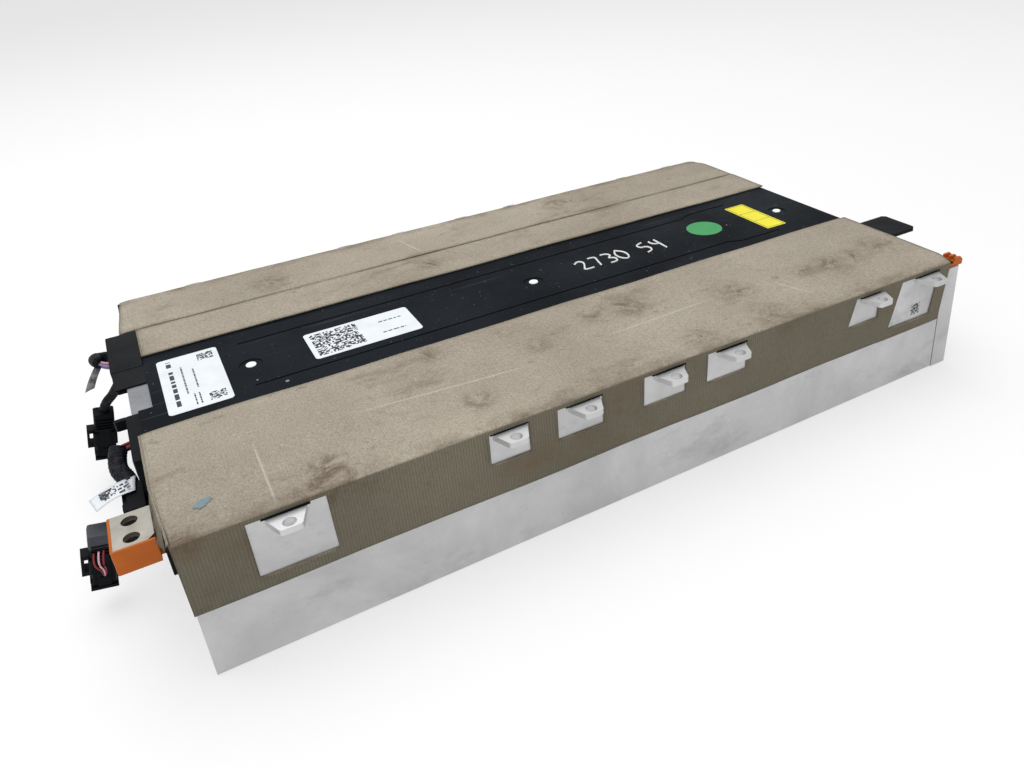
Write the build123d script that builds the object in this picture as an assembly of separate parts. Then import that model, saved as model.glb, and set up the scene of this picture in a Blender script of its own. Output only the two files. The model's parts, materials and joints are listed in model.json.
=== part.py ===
from build123d import *
import math
import os

# EV battery module: long pouch cells on edge in an aluminium tray with bolting lugs,
# under a black top cover and glass-fabric fire shields, with a harness at the left end.
# Millimetres. X runs along the module, Y across it, Z up from the cooling face.

# ---- tray and walls ----
TRAY_LEFT = -327.0
TRAY_LENGTH = 646.0
TRAY_RIGHT = TRAY_LEFT + TRAY_LENGTH
TRAY_HALF_WIDTH = 190.5
WALL = 3.0
FLOOR = 3.0
WALL_TOP = 104.0
TRAY_CORNER = 2.0
FRONT = -1
REAR = 1

# ---- lugs, welded into slots in the side walls ----
LUGS_FROM_LEFT = (63.5, 214.7, 273.1)
LUGS_FROM_RIGHT = (299.7, 240.3, 88.3, 22.2)
LUG_X = tuple(TRAY_LEFT + x for x in LUGS_FROM_LEFT) + tuple(TRAY_RIGHT - x for x in LUGS_FROM_RIGHT)
LUG_BELOW_EDGE = 2.0
LUG_TOP = WALL_TOP - LUG_BELOW_EDGE
LUG_THICK = 4.2
LUG_ROOT = 26.0
LUG_TIP = 13.5
LUG_REACH = 15.8
LUG_HOLE_OUT = 10.2
LUG_HOLE_R = 4.25
LUG_CORNER = 3.0

# ---- end plates ----
END_PLATE_THICK = 10.0
END_PLATE_BELOW_EDGE = 4.5
END_PLATE_TOP = WALL_TOP - END_PLATE_BELOW_EDGE
END_RIB_DEPTH = 5.0
END_RIB_WIDTH = 3.0
END_POCKETS_Y = 8
END_POCKETS_Z = 2
RIGHT_PLATE_OUT = 19.5
RIGHT_PLATE_GAP = 1.0
RIGHT_POCKETS_BELOW_EDGE = 19.0

# ---- cells and what lies between them ----
CELL_COUNT = 24
CELL_GAP = 3.025
CELL_HEADROOM = 8.5
CELL_END_SPACE = 33.0
CELL_TAB = 14.0
CELL_TAB_HEIGHT = 44.0
CELL_TAB_THICK = 0.6
THERMAL_PAD = 1.5
BUSBAR_FRAME = 5.0
BUSBAR_THICK = 3.0
BUSBAR_HEIGHT = 52.0
BUSBAR_GAP = 5.0
TAB_SLOT_CLEAR = 2.0
COVER_THICK = 2.0
FLEX_THICK = 0.4
RAIL_HALF = 4.0
RAIL_FROM_WALL = 37.5
RAIL_INNER_Y = 80.0

# ---- top cover and shields ----
COVER_Z = WALL_TOP
TOP_COVER_THICK = 1.6
TOP_COVER_LEFT = TRAY_LEFT - 4.0
TOP_COVER_RIGHT = TRAY_RIGHT + 11.0
GROOVE_DEPTH = 0.6
GROOVE_WIDTH = 2.0
GROOVE_RADIUS = 5.0
GROOVE_SHIFT = 6.0
GROOVE_STEP_RUN = 14.0
GROOVE_STEP_BEFORE_END = 60.0
STRIP_FRONT = -56.9
STRIP_REAR = 66.0
PANEL_FRONT = -34.0
PANEL_REAR = 42.0
PANEL_LEFT = TRAY_LEFT + 77.0
PANEL_RIGHT = TRAY_RIGHT - 57.0
PLUG_X = (TRAY_LEFT + 80.5, 5.3, TRAY_RIGHT - 24.3)
PLUG_Y = 0.6
PLUG_R = 4.1
PLUG_RECESS_R = 9.2
PLUG_HEIGHT = 1.0
SHIELD = 1.2
SHIELD_TOP_THICK = 2.2
SHIELD_LEFT = TRAY_LEFT - 7.0
SHIELD_RIGHT = TRAY_RIGHT + 14.0
MAT_CLEAR = 0.2
SHIELD_TOP = COVER_Z + TOP_COVER_THICK + MAT_CLEAR + SHIELD_TOP_THICK
SHIELD_HEM = WALL_TOP - 51.7
SHIELD_RADIUS = 3.0
SEAM_GAP = 0.3
STRIP_SHIELD_LEFT = TRAY_LEFT + 6.0
STRIP_SHIELD_REAR = 120.0
STRIP_SHIELD_LOWER = 0.5
WINDOW_TOP = WALL_TOP - 0.4
WIDE_WINDOW = WALL_TOP - 41.0
NARROW_WINDOW = WALL_TOP - 24.6
# How far each lug's window reaches to the left and right of it, and its lower edge.
WINDOW_REACH = (
    (24.0, 25.0, WIDE_WINDOW),
    (16.2, 13.8, NARROW_WINDOW),
    (22.1, 14.9, NARROW_WINDOW),
    (22.3, 14.7, NARROW_WINDOW),
    (23.2, 14.8, NARROW_WINDOW),
    (22.7, 15.8, NARROW_WINDOW),
    (33.8, 15.7, WIDE_WINDOW),
)

# ---- left end cover, with the sense connector box and the notch ----
END_COVER_OUT = TRAY_LEFT - 13.0
END_COVER_INNER = TRAY_LEFT - 0.3
END_COVER_WALL = 2.5
END_COVER_BOTTOM = WALL_TOP - 46.0
END_COVER_BELOW_EDGE = 0.2
BOX_FRONT = 48.0
BOX_REAR = 117.0
BOX_OUT = TRAY_LEFT - 18.0
BOX_TOP = WALL_TOP + 3.6
BOX_HEIGHT = 20.0
CLEAR = 0.3
NOTCH_FRONT = -20.0
COVER_FRONT = -84.0
HOOK_OUT = 6.0
HOOK_THICK = 4.0
BRACKET_THICK = 2.0

# ---- high-voltage terminals ----
TERMINAL_LENGTH = 25.0
TERMINAL_WIDTH = 36.0
TERMINAL_HEIGHT = 17.5
TERMINAL_TOP = WALL_TOP - 9.0
TERMINAL_RIM = 1.6
TERMINAL_PLATE = 3.0
TERMINAL_CHAMFER = 4.0
TERMINAL_NUT_R = 6.6
TERMINAL_NUT_BORE = 4.3
TERMINAL_NUT = 8.0
TERMINAL_HOLE_R = 4.9
TERMINAL_PITCH = 17.5
LEFT_TERMINAL_X = TRAY_LEFT - 21.5
LEFT_TERMINAL_Y = 47.5 - TRAY_HALF_WIDTH
RIGHT_CAP_OUT = TRAY_RIGHT + 25.0
RIGHT_CAP_LENGTH = 24.0
RIGHT_CAP_FRONT = 1.5 - TRAY_HALF_WIDTH
RIGHT_CAP_REAR = 14.5 - TRAY_HALF_WIDTH
RIGHT_CAP_HEIGHT = 4.3
CAP_FINS = 3
CAP_FIN_THICK = 2.0
CAP_FIN_RISE = 3.4
TERMINAL_NECK = 12.0

# ---- right end flap ----
FLAP_REACH = 34.0
FLAP_FRONT = -112.0
FLAP_REAR = -72.0
FLAP_THICK = 3.5
FLAP_CHAMFER = 3.0

# ---- harness ----
PLUG_BODY = (15.0, 14.0, 40.0)
PLUG_LEAN = 12.0
UPPER_PLUG_TOP = (-360.0, 68.0, 68.0)
LOWER_PLUG_TOP = (-372.0, -84.0, 60.0)
PLUG_RUN = 10.0
SIDE_ENTRY = 10.0
LEAD_R = 3.6
TUBE_R = 6.2
LOOP_R = 5.0
BLOCK = (14.0, 32.0, 16.0)
BLOCK_CENTRE = (-347.0, -82.0, 70.0)
RADIUS_SHARE = 0.45

INNER_HALF = TRAY_HALF_WIDTH - WALL
STACK_LEFT = TRAY_LEFT + END_PLATE_THICK
STACK_RIGHT = TRAY_RIGHT - END_PLATE_THICK
CELL_MID_X = (STACK_LEFT + STACK_RIGHT) / 2
CELL_LENGTH = STACK_RIGHT - STACK_LEFT - 2 * CELL_END_SPACE
CELL_PITCH = 2 * INNER_HALF / CELL_COUNT
CELL_THICK = CELL_PITCH - CELL_GAP
CELL_FLOOR = FLOOR + THERMAL_PAD
CELL_HEIGHT = WALL_TOP - CELL_HEADROOM - CELL_FLOOR
CELL_TOP = CELL_FLOOR + CELL_HEIGHT
CELL_MIDDLE = CELL_FLOOR + CELL_HEIGHT / 2
COVER_TOP = COVER_Z + TOP_COVER_THICK


def block(x0, x1, y0, y1, z0, z1):
    """A box between two corners."""
    centre = Pos((x0 + x1) / 2, (y0 + y1) / 2, (z0 + z1) / 2)
    return centre * Box(x1 - x0, y1 - y0, z1 - z0)


def many(parts):
    """Several separate solids in one node."""
    solids = []
    for part in parts:
        solids.extend(part.solids())
    return Compound(children=solids)


def mirrored(part):
    """The same part on the rear side."""
    return mirror(part, about=Plane.XZ)


# ---- tray ----

def lug_slot(x, side):
    half = LUG_ROOT / 2
    wall_mid = side * (TRAY_HALF_WIDTH - WALL / 2)
    return Pos(x, wall_mid, LUG_TOP - LUG_THICK / 2) * Box(2 * half, 2 * WALL, LUG_THICK)


def housing_tray():
    """Floor and two side walls, folded from one sheet, with slots for the lugs."""
    outer = Rectangle(2 * TRAY_HALF_WIDTH, WALL_TOP, align=(Align.CENTER, Align.MIN))
    inner = Pos(0, FLOOR) * Rectangle(2 * INNER_HALF, WALL_TOP, align=(Align.CENTER, Align.MIN))
    section = outer - inner
    low = section.vertices().group_by(Axis.Y)[0]
    section = fillet(low, TRAY_CORNER)
    tray = extrude(Plane.YZ * section, TRAY_RIGHT - TRAY_LEFT)
    tray = Pos(TRAY_LEFT, 0, 0) * tray
    for side in (FRONT, REAR):
        for x in LUG_X:
            tray -= lug_slot(x, side)
    return tray


def lug(x):
    """A flat trapezoid lug with its root through the wall, and its bolt hole."""
    root_y = -INNER_HALF
    wall_y = -TRAY_HALF_WIDTH
    tip_y = wall_y - LUG_REACH
    outline = Polyline(
        (x - LUG_ROOT / 2, root_y),
        (x - LUG_ROOT / 2, wall_y),
        (x - LUG_TIP / 2, tip_y),
        (x + LUG_TIP / 2, tip_y),
        (x + LUG_ROOT / 2, wall_y),
        (x + LUG_ROOT / 2, root_y),
        close=True,
    )
    plate = make_face(outline)
    plate = fillet(plate.vertices().group_by(Axis.Y)[0], LUG_CORNER)
    plate -= Pos(x, wall_y - LUG_HOLE_OUT) * Circle(LUG_HOLE_R)
    return Pos(0, 0, LUG_TOP - LUG_THICK) * extrude(plate, LUG_THICK)


def lugs():
    return [lug(x) for x in LUG_X]


# ---- end plates ----

def pockets(outer_x, depth, half_width, bottom, top):
    """Rows of rectangular pockets that leave ribs on the plate's outer face."""
    cuts = []
    span_y = (2 * half_width - END_RIB_WIDTH) / END_POCKETS_Y
    span_z = (top - bottom - END_RIB_WIDTH) / END_POCKETS_Z
    for row in range(END_POCKETS_Z):
        for column in range(END_POCKETS_Y):
            y = -half_width + END_RIB_WIDTH / 2 + (column + 0.5) * span_y
            z = bottom + END_RIB_WIDTH / 2 + (row + 0.5) * span_z
            cut = Box(2 * depth, span_y - END_RIB_WIDTH, span_z - END_RIB_WIDTH)
            cut = chamfer(cut.edges().filter_by(Axis.X), END_RIB_WIDTH)
            cuts.append(Pos(outer_x, y, z) * cut)
    return cuts


def end_plate_left():
    """Ribbed casting welded between the tray walls."""
    plate = block(TRAY_LEFT, TRAY_LEFT + END_PLATE_THICK, -INNER_HALF, INNER_HALF, FLOOR, END_PLATE_TOP)
    solid_margin = END_PLATE_THICK
    for cut in pockets(TRAY_LEFT, END_RIB_DEPTH, INNER_HALF - solid_margin, FLOOR + END_RIB_WIDTH,
                       END_COVER_BOTTOM - END_RIB_WIDTH):
        plate -= cut
    return plate


def end_plate_right():
    """Thick ribbed end beam that closes the tray's right end, welded to its edge."""
    left = TRAY_RIGHT + RIGHT_PLATE_GAP
    right = left + RIGHT_PLATE_OUT
    plate = block(left, right, -TRAY_HALF_WIDTH, TRAY_HALF_WIDTH, 0, END_PLATE_TOP)
    tongue = block(TRAY_RIGHT - END_PLATE_THICK, left, -INNER_HALF, INNER_HALF, FLOOR, END_PLATE_TOP)
    plate += tongue
    upright = plate.edges().filter_by(Axis.Z).group_by(Axis.X)[-1]
    plate = fillet(upright, TRAY_CORNER)
    for cut in pockets(right, END_RIB_DEPTH, TRAY_HALF_WIDTH - 2 * WALL, 2 * WALL,
                       WALL_TOP - RIGHT_POCKETS_BELOW_EDGE):
        plate -= cut
    return plate


# ---- cells ----

def cell_y(number):
    return -INNER_HALF + (number + 0.5) * CELL_PITCH


def cell(number):
    """A long pouch cell on edge: body, sealed end terraces and a tab at each end."""
    place = Pos(CELL_MID_X, cell_y(number), CELL_MIDDLE)
    body = place * Box(CELL_LENGTH, CELL_THICK, CELL_HEIGHT)
    body = chamfer(body.edges().filter_by(Axis.Z), CELL_THICK * 0.3)
    tab_reach = CELL_LENGTH / 2 + CELL_TAB
    tab = place * Box(2 * tab_reach, CELL_TAB_THICK, CELL_TAB_HEIGHT)
    return body + tab


def cell_pads():
    """Foam pads between the cells and against the two walls."""
    pads = []
    for number in range(CELL_COUNT + 1):
        y = -INNER_HALF + number * CELL_PITCH
        low = max(y - CELL_GAP / 2, -INNER_HALF)
        high = min(y + CELL_GAP / 2, INNER_HALF)
        x0 = CELL_MID_X - CELL_LENGTH / 2 + CELL_TAB
        x1 = CELL_MID_X + CELL_LENGTH / 2 - CELL_TAB
        pads.append(block(x0, x1, low, high, CELL_FLOOR, CELL_TOP))
    return pads


def thermal_pad():
    """Gap filler between the cells and the tray floor."""
    x0 = CELL_MID_X - CELL_LENGTH / 2
    x1 = CELL_MID_X + CELL_LENGTH / 2
    return block(x0, x1, -INNER_HALF, INNER_HALF, FLOOR, CELL_FLOOR)


# ---- busbars ----

def end_stack(side):
    """X planes at one end, going outwards: frame inner, frame outer, busbar outer."""
    inner = CELL_MID_X + side * CELL_LENGTH / 2
    frame = inner + side * BUSBAR_FRAME
    bar = frame + side * BUSBAR_THICK
    return inner, frame, bar


def busbar_frame(side):
    """Moulded frame that the cell tabs pass through."""
    inner, frame, _ = end_stack(side)
    x0, x1 = sorted((inner, frame))
    body = block(x0, x1, -INNER_HALF, INNER_HALF, FLOOR, CELL_TOP)
    slot_height = CELL_TAB_HEIGHT + TAB_SLOT_CLEAR
    for number in range(CELL_COUNT):
        slot = Box(4 * BUSBAR_FRAME, 3 * CELL_TAB_THICK, slot_height)
        body -= Pos((x0 + x1) / 2, cell_y(number), CELL_MIDDLE) * slot
    return body


def busbars(side, first):
    """Slotted bars, each joining the tabs of up to four cells."""
    _, frame, bar = end_stack(side)
    x0, x1 = sorted((frame, bar))
    bars = []
    start = 0
    size = first
    while start < CELL_COUNT:
        end = min(start + size, CELL_COUNT)
        y0 = -INNER_HALF + start * CELL_PITCH + BUSBAR_GAP / 2
        y1 = -INNER_HALF + end * CELL_PITCH - BUSBAR_GAP / 2
        body = block(x0, x1, y0, y1, CELL_MIDDLE - BUSBAR_HEIGHT / 2,
                     CELL_MIDDLE + BUSBAR_HEIGHT / 2)
        for number in range(start, end):
            slot = Box(4 * BUSBAR_THICK, 3 * CELL_TAB_THICK, CELL_TAB_HEIGHT + TAB_SLOT_CLEAR)
            body -= Pos((x0 + x1) / 2, cell_y(number), CELL_MIDDLE) * slot
        bars.append(body)
        start = end
        size = 4
    return bars


def insulating_cover(side):
    """Thin insulating sheet between the busbars and the end plate."""
    wall = STACK_LEFT if side < 0 else STACK_RIGHT
    x0, x1 = sorted((wall, wall - side * COVER_THICK))
    return block(x0, x1, -INNER_HALF, INNER_HALF, FLOOR, CELL_TOP)


def sense_flex():
    """Flat flexible circuit that runs over the cells under the top cover."""
    return block(STACK_LEFT, STACK_RIGHT, PANEL_FRONT, PANEL_REAR, CELL_TOP, CELL_TOP + FLEX_THICK)


def cover_spacers():
    """Plastic rails on the cells that carry the top cover."""
    outer = INNER_HALF - RAIL_FROM_WALL
    rails = []
    for y in (-outer, -RAIL_INNER_Y, RAIL_INNER_Y, outer):
        rails.append(block(STACK_LEFT, STACK_RIGHT, y - RAIL_HALF, y + RAIL_HALF, CELL_TOP, COVER_Z))
    return rails


# ---- top cover ----

def panel_groove(y0, y1):
    """Pressed groove along the strip, with a slanted step near its right end."""
    step = PANEL_RIGHT - GROOVE_STEP_BEFORE_END
    path = FilletPolyline((PANEL_LEFT, y0), (step, y0), (step + GROOVE_STEP_RUN, y1), (PANEL_RIGHT, y1),
                          radius=GROOVE_RADIUS)
    groove = trace(path, GROOVE_WIDTH)
    deep = extrude(groove, 2 * GROOVE_DEPTH)
    return Pos(0, 0, COVER_TOP - GROOVE_DEPTH) * deep


def top_cover():
    """Black cover sheet over the cells, with pressed grooves and plug recesses."""
    half = TRAY_HALF_WIDTH
    cover = block(TOP_COVER_LEFT, TOP_COVER_RIGHT, -half, half, COVER_Z, COVER_TOP)
    cover -= panel_groove(PANEL_FRONT, PANEL_FRONT - GROOVE_SHIFT)
    cover -= panel_groove(PANEL_REAR, PANEL_REAR + GROOVE_SHIFT)
    for x in PLUG_X:
        cover -= Pos(x, PLUG_Y, COVER_TOP) * Cylinder(PLUG_RECESS_R, 2 * GROOVE_DEPTH)
    notch = block(TOP_COVER_LEFT - 1, STACK_LEFT, NOTCH_FRONT, BOX_REAR, COVER_Z - 1, COVER_TOP + 1)
    return cover - notch


def cover_plugs():
    """Round push plugs, one in each recess of the cover."""
    base = COVER_TOP - GROOVE_DEPTH
    plugs = []
    for x in PLUG_X:
        plug = Pos(x, PLUG_Y, base + PLUG_HEIGHT / 2) * Cylinder(PLUG_R, PLUG_HEIGHT)
        plugs.append(chamfer(plug.edges().group_by(Axis.Z)[-1], PLUG_HEIGHT * 0.4))
    return plugs


# ---- shields ----

def folded_shield(x0, x1, inner_y):
    """Glass fabric folded over the top edge and down the front side."""
    face = -TRAY_HALF_WIDTH - MAT_CLEAR - SHIELD
    inner_top = COVER_TOP + MAT_CLEAR
    outer = Polyline((face, SHIELD_HEM), (face, SHIELD_TOP), (inner_y, SHIELD_TOP),
                     (inner_y, inner_top), (face + SHIELD, inner_top), (face + SHIELD, SHIELD_HEM),
                     close=True)
    section = make_face(Plane.YZ * outer)
    shield = Pos(x0, 0, 0) * extrude(section, x1 - x0, dir=(1, 0, 0))
    corner = shield.edges().filter_by(Axis.X).sort_by_distance((0, face, SHIELD_TOP))[0]
    return fillet(corner, SHIELD_RADIUS)


def window_cuts():
    """Windows that leave each lug and the wall below it open."""
    cuts = []
    for x, (left, right, bottom) in zip(LUG_X, WINDOW_REACH):
        cuts.append(block(x - left, x + right, -TRAY_HALF_WIDTH - 3 * WALL, -TRAY_HALF_WIDTH + WALL / 2,
                          bottom, WINDOW_TOP))
    return cuts


def front_shield():
    shield = folded_shield(SHIELD_LEFT, SHIELD_RIGHT, STRIP_FRONT)
    for cut in window_cuts():
        shield -= cut
    return shield


def rear_shield():
    shield = folded_shield(SHIELD_LEFT, SHIELD_RIGHT, -STRIP_SHIELD_REAR)
    for cut in window_cuts():
        shield -= cut
    return mirrored(shield)


def rear_shield_strip():
    """Inner strip of the rear shield, between the seam and the black cover strip."""
    inner_top = COVER_TOP + MAT_CLEAR
    return block(STRIP_SHIELD_LEFT, SHIELD_RIGHT, STRIP_REAR, STRIP_SHIELD_REAR - SEAM_GAP,
                 inner_top, SHIELD_TOP - STRIP_SHIELD_LOWER)


# ---- left end cover ----

def connector_box():
    """Moulded box for the sense connector, open to the notch at its front."""
    low = BOX_TOP - BOX_HEIGHT
    box = block(BOX_OUT, STRIP_SHIELD_LEFT - CLEAR, BOX_FRONT, BOX_REAR, low, BOX_TOP)
    box = fillet(box.edges().filter_by(Axis.Z).group_by(Axis.X)[0], 1.5)
    inner = block(BOX_OUT + END_COVER_WALL, END_COVER_INNER - 0.5, BOX_FRONT - 1, BOX_REAR - END_COVER_WALL,
                  low + END_COVER_WALL, BOX_TOP - END_COVER_WALL)
    plate_room = block(TRAY_LEFT - 0.2, STACK_LEFT + 1, BOX_FRONT - 1, BOX_REAR + 1, 0, END_PLATE_TOP + 0.2)
    return box - inner - plate_room


def end_cover():
    """Cap over the upper end plate beside the notch, with its wire hook and ribs."""
    top = COVER_Z - END_COVER_BELOW_EDGE
    cap = block(END_COVER_OUT, STACK_LEFT - 1, COVER_FRONT, NOTCH_FRONT, END_COVER_BOTTOM, top)
    cap = fillet(cap.edges().filter_by(Axis.Z).group_by(Axis.X)[0], 1.5)
    inner = block(END_COVER_OUT + END_COVER_WALL, END_COVER_INNER - 0.4, COVER_FRONT + END_COVER_WALL,
                  NOTCH_FRONT - END_COVER_WALL, END_COVER_BOTTOM - 1, top - END_COVER_WALL)
    plate_room = block(TRAY_LEFT - 0.2, STACK_LEFT + 1, COVER_FRONT - 1, NOTCH_FRONT + 1, 0,
                       END_PLATE_TOP + 0.2)
    cap = cap - inner - plate_room
    hook_y = NOTCH_FRONT - HOOK_THICK / 2
    arm = block(END_COVER_OUT - HOOK_OUT, END_COVER_OUT + 0.1, NOTCH_FRONT - HOOK_THICK, NOTCH_FRONT,
                top - 8, top)
    knob = Pos(END_COVER_OUT - HOOK_OUT, hook_y, top - 4) * Cylinder(HOOK_THICK / 2, 8)
    return cap + arm + knob


def corner_guard(y0, y1):
    """Slim edge strip between the shield's end and the end plate."""
    return block(TRAY_LEFT - 4.0, TRAY_LEFT - 0.2, y0, y1, END_COVER_BOTTOM,
                 COVER_Z - END_COVER_BELOW_EDGE)


def grey_bracket():
    """Plate in the notch that the end cover and the connector box are fixed to."""
    return block(TRAY_LEFT - 9.0, STACK_LEFT - 0.2, NOTCH_FRONT + 0.2, BOX_FRONT - 0.2,
                 END_PLATE_TOP, END_PLATE_TOP + BRACKET_THICK)


# ---- terminals ----

def terminal_holes(radius, depth):
    """Two upright cylinders at the bolt holes, down from the plate's top."""
    holes = []
    for step in (-0.5, 0.5):
        y = LEFT_TERMINAL_Y + step * TERMINAL_PITCH
        holes.append(Pos(LEFT_TERMINAL_X, y, TERMINAL_TOP - depth / 2) * Cylinder(radius, depth))
    return holes


def terminal_housing():
    """Orange insulating block with a rim round the plate's outer and front edges."""
    x0 = LEFT_TERMINAL_X - TERMINAL_LENGTH / 2
    x1 = LEFT_TERMINAL_X + TERMINAL_LENGTH / 2
    y0 = LEFT_TERMINAL_Y - TERMINAL_WIDTH / 2
    y1 = LEFT_TERMINAL_Y + TERMINAL_WIDTH / 2
    low = TERMINAL_TOP - TERMINAL_HEIGHT
    body = block(x0, x1, y0, y1, low, TERMINAL_TOP)
    body = fillet(body.edges().filter_by(Axis.Z).group_by(Axis.X)[0], 1.0)
    seat = TERMINAL_TOP - TERMINAL_PLATE
    body -= block(x0 + TERMINAL_RIM, x1 + 1, y0 + TERMINAL_RIM, y1 + 1, seat, TERMINAL_TOP + 1)
    for well in terminal_holes(TERMINAL_NUT_R, TERMINAL_PLATE + TERMINAL_NUT):
        body -= well
    neck = block(x1, TRAY_LEFT, LEFT_TERMINAL_Y - TERMINAL_NECK, LEFT_TERMINAL_Y + TERMINAL_NECK,
                 low, seat - 1)
    return body + neck


def terminal_plate():
    """Bolting plate with two round holes and one cut corner, let into the housing's rim."""
    gap = 0.05
    x0 = LEFT_TERMINAL_X - TERMINAL_LENGTH / 2 + TERMINAL_RIM + gap
    x1 = LEFT_TERMINAL_X + TERMINAL_LENGTH / 2
    y0 = LEFT_TERMINAL_Y - TERMINAL_WIDTH / 2 + TERMINAL_RIM + gap
    y1 = LEFT_TERMINAL_Y + TERMINAL_WIDTH / 2
    plate = block(x0, x1, y0, y1, TERMINAL_TOP - TERMINAL_PLATE, TERMINAL_TOP)
    corner = plate.edges().filter_by(Axis.Z).sort_by_distance((x1, y0, TERMINAL_TOP))[0]
    plate = chamfer(corner, TERMINAL_CHAMFER)
    for hole in terminal_holes(TERMINAL_HOLE_R, 3 * TERMINAL_PLATE):
        plate -= hole
    return plate


def terminal_nuts():
    """Round nuts in the housing's wells, under the plate's holes."""
    top = TERMINAL_TOP - TERMINAL_PLATE
    nuts = []
    for step in (-0.5, 0.5):
        y = LEFT_TERMINAL_Y + step * TERMINAL_PITCH
        nut = Cylinder(TERMINAL_NUT_R, TERMINAL_NUT) - Cylinder(TERMINAL_NUT_BORE, 2 * TERMINAL_NUT)
        nuts.append(Pos(LEFT_TERMINAL_X, y, top - TERMINAL_NUT / 2) * nut)
    return nuts


def busbar_cap():
    """Finned orange cap over the right busbar end, seated on the end beam."""
    inner = RIGHT_CAP_OUT - RIGHT_CAP_LENGTH
    cap = block(inner, RIGHT_CAP_OUT - 2, RIGHT_CAP_FRONT, RIGHT_CAP_REAR,
                END_PLATE_TOP, END_PLATE_TOP + RIGHT_CAP_HEIGHT)
    pitch = (RIGHT_CAP_REAR - RIGHT_CAP_FRONT - CAP_FIN_THICK) / (CAP_FINS - 1)
    for number in range(CAP_FINS):
        y = RIGHT_CAP_FRONT + number * pitch
        fin = block(RIGHT_CAP_OUT - 10, RIGHT_CAP_OUT, y, y + CAP_FIN_THICK,
                    END_PLATE_TOP, END_PLATE_TOP + RIGHT_CAP_HEIGHT + CAP_FIN_RISE)
        outer = fin.edges().filter_by(Axis.Y).group_by(Axis.X)[-1].group_by(Axis.Z)[-1]
        cap += chamfer(outer, 3.0)
    return cap


def right_flap():
    """Flat insulating flap that stands out from under the shield."""
    x0 = TRAY_RIGHT + RIGHT_PLATE_GAP
    x1 = x0 + RIGHT_PLATE_OUT + FLAP_REACH
    base = END_PLATE_TOP
    flap = block(x0, x1, FLAP_FRONT, FLAP_REAR, base, base + FLAP_THICK)
    outer = flap.edges().filter_by(Axis.Z).group_by(Axis.X)[-1]
    return chamfer(outer, FLAP_CHAMFER)


# ---- harness ----

def corner_radii(points):
    """Each corner's radius, from its two runs and its turn."""
    radii = []
    for before, corner, after in zip(points, points[1:], points[2:]):
        first = Vector(*corner) - Vector(*before)
        second = Vector(*after) - Vector(*corner)
        turn = math.radians(first.get_angle(second))
        shorter = min(first.length, second.length)
        radii.append(RADIUS_SHARE * shorter / math.tan(turn / 2))
    return radii


def lead(name, points, radius):
    """A round lead along straight runs and tangent arcs."""
    radii = corner_radii(points)
    path = FilletPolyline(*points, radius=radii)
    start = Plane(origin=path @ 0, z_dir=path % 0)
    tube = sweep(start * Circle(radius), path=path)
    expected = math.pi * radius ** 2 * path.length
    print(name, "length", round(path.length, 1), "radii", [round(r, 1) for r in radii],
          "volume share", round(tube.volume / expected, 4))
    return tube


def plug_body(top, lean):
    """Inline connector hanging from its lead, with collar, latch bow and keying ribs."""
    depth, width, height = PLUG_BODY
    body = Pos(0, 0, -height / 2) * Box(depth, width, height)
    body = fillet(body.edges().filter_by(Axis.Z), 2.0)
    collar = Pos(0, 0, -height * 0.55) * Box(depth + 2.5, width + 2.5, height * 0.28)
    collar = fillet(collar.edges().filter_by(Axis.Z), 2.0)
    bow = Pos(-depth / 2 - 2.5, 0, -height * 0.55) * Box(6.0, width * 0.7, height * 0.4)
    bow -= Pos(-depth / 2 - 2.3, 0, -height * 0.55) * Box(2.6, width * 2, height * 0.24)
    return Pos(*top) * Rot(Y=lean) * (body + collar + bow)


def upper_route():
    """From the connector box's outer face down into the upper connector's top."""
    lean = math.radians(PLUG_LEAN)
    x, y, z = UPPER_PLUG_TOP
    entry = (x + PLUG_RUN * math.sin(lean), y, z + PLUG_RUN * math.cos(lean))
    return ((BOX_OUT, y, 92), (-354, y, 92), entry, UPPER_PLUG_TOP)


def lower_route():
    """From under the harness block out into the lower connector's inner side."""
    lean = math.radians(PLUG_LEAN)
    x, y, z = LOWER_PLUG_TOP
    half = PLUG_BODY[0] / 2
    face_x = x - SIDE_ENTRY * math.sin(lean) + half * math.cos(lean)
    face_z = z - SIDE_ENTRY * math.cos(lean) - half * math.sin(lean)
    before = (face_x + PLUG_RUN * math.cos(lean), y, face_z - PLUG_RUN * math.sin(lean))
    under = BLOCK_CENTRE[2] - BLOCK[2] / 2
    return ((BLOCK_CENTRE[0], y, under), (BLOCK_CENTRE[0], y, 49), before, (face_x, y, face_z))


TUBE_ROUTE = (
    (END_COVER_OUT, -30, 86),
    (-350, -30, 86),
    (-355, -42, 79),
    (-348, -56, 74),
    (-348, -66, 74),
)
LOOP_ROUTE = (
    (BOX_OUT, 106, 93),
    (-354, 106, 93),
    (-359, 117, 92),
    (-352, 129, 85),
    (-341, 131, 84),
    (TRAY_LEFT - 4.0, 131, 84),
)


def harness_block():
    """Connector block plugged into the end cover's side, with stepped faces."""
    depth, width, height = BLOCK
    body = Pos(*BLOCK_CENTRE) * Box(depth, width, height)
    body = fillet(body.edges().filter_by(Axis.Z), 1.5)
    step = Pos(BLOCK_CENTRE[0] - depth / 2, BLOCK_CENTRE[1], BLOCK_CENTRE[2] + height / 2)
    return body - step * Box(6.0, width * 0.45, 5.0)


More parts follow.
